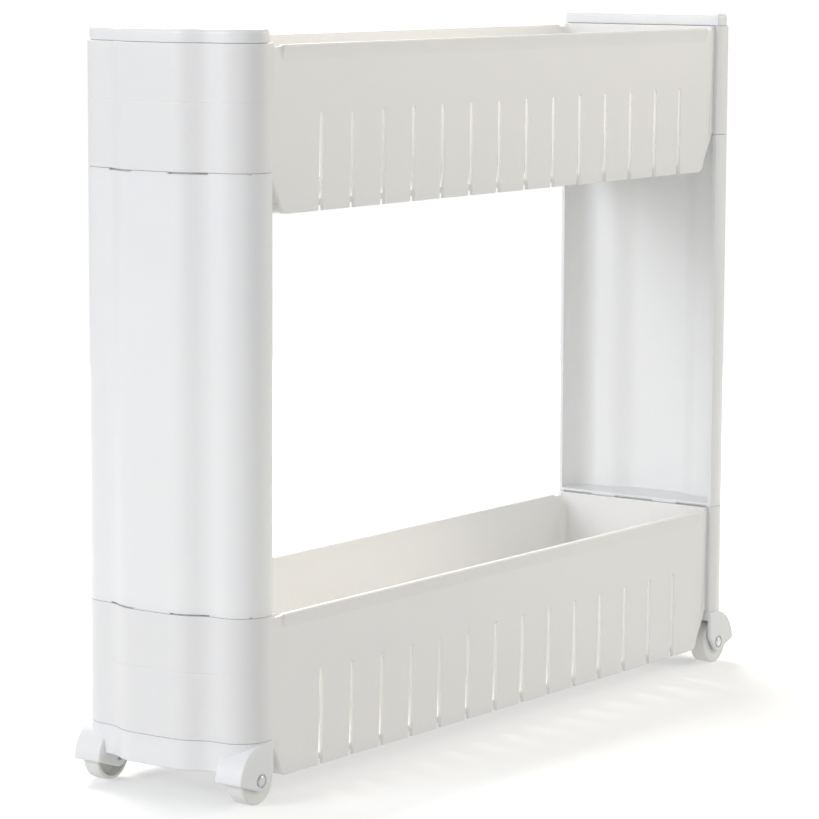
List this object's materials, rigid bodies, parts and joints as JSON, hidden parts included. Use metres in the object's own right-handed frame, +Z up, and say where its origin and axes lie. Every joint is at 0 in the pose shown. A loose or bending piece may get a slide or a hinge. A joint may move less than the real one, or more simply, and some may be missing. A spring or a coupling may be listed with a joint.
{
  "type": "rolling utility cart",
  "caption": "Slim two-tier rolling utility cart with open-topped slotted trays, rounded hollow end uprights with caps, and fixed hooded castors under each end.",
  "frame": {"origin": "on the floor under the middle of the cart", "axes": "+X along the cart towards its rear end, +Y across it, +Z up"},
  "size_m": [0.548, 0.125, 0.438],
  "materials": {
    "gloss_white": "smooth moulded polypropylene, satin gloss",
    "tray_white": "smooth moulded polypropylene, slightly softer gloss",
    "wheel_white": "moulded nylon wheel, matt tread",
    "steel": "plain cut steel pin"
  },
  "bodies": {
    "frame": {"lower_tray": "tray_white", "upper_tray": "tray_white", "rear_upright": "gloss_white", "rear_cap": "gloss_white", "rear_base": "gloss_white", "rear_left_axle": "steel", "rear_right_axle": "steel", "front_upright": "gloss_white", "front_cap": "gloss_white", "front_base": "gloss_white", "front_left_axle": "steel", "front_right_axle": "steel"},
    "rear_left_castor_wheel": {"rear_left_wheel": "wheel_white"},
    "rear_right_castor_wheel": {"rear_right_wheel": "wheel_white"},
    "front_left_castor_wheel": {"front_left_wheel": "wheel_white"},
    "front_right_castor_wheel": {"front_right_wheel": "wheel_white"}
  },
  "joints": [
    {"name": "rear_left_wheel_spin", "type": "hinge", "parent": "frame", "child": "rear_left_castor_wheel", "pos_m": [0.252, 0.0533, 0.0142], "axis": [0, 1, 0], "continuous": true},
    {"name": "rear_right_wheel_spin", "type": "hinge", "parent": "frame", "child": "rear_right_castor_wheel", "pos_m": [0.252, -0.0533, 0.0142], "axis": [0, 1, 0], "continuous": true},
    {"name": "front_left_wheel_spin", "type": "hinge", "parent": "frame", "child": "front_left_castor_wheel", "pos_m": [-0.252, -0.0533, 0.0142], "axis": [0, 1, 0], "continuous": true},
    {"name": "front_right_wheel_spin", "type": "hinge", "parent": "frame", "child": "front_right_castor_wheel", "pos_m": [-0.252, 0.0533, 0.0142], "axis": [0, 1, 0], "continuous": true}
  ]
}
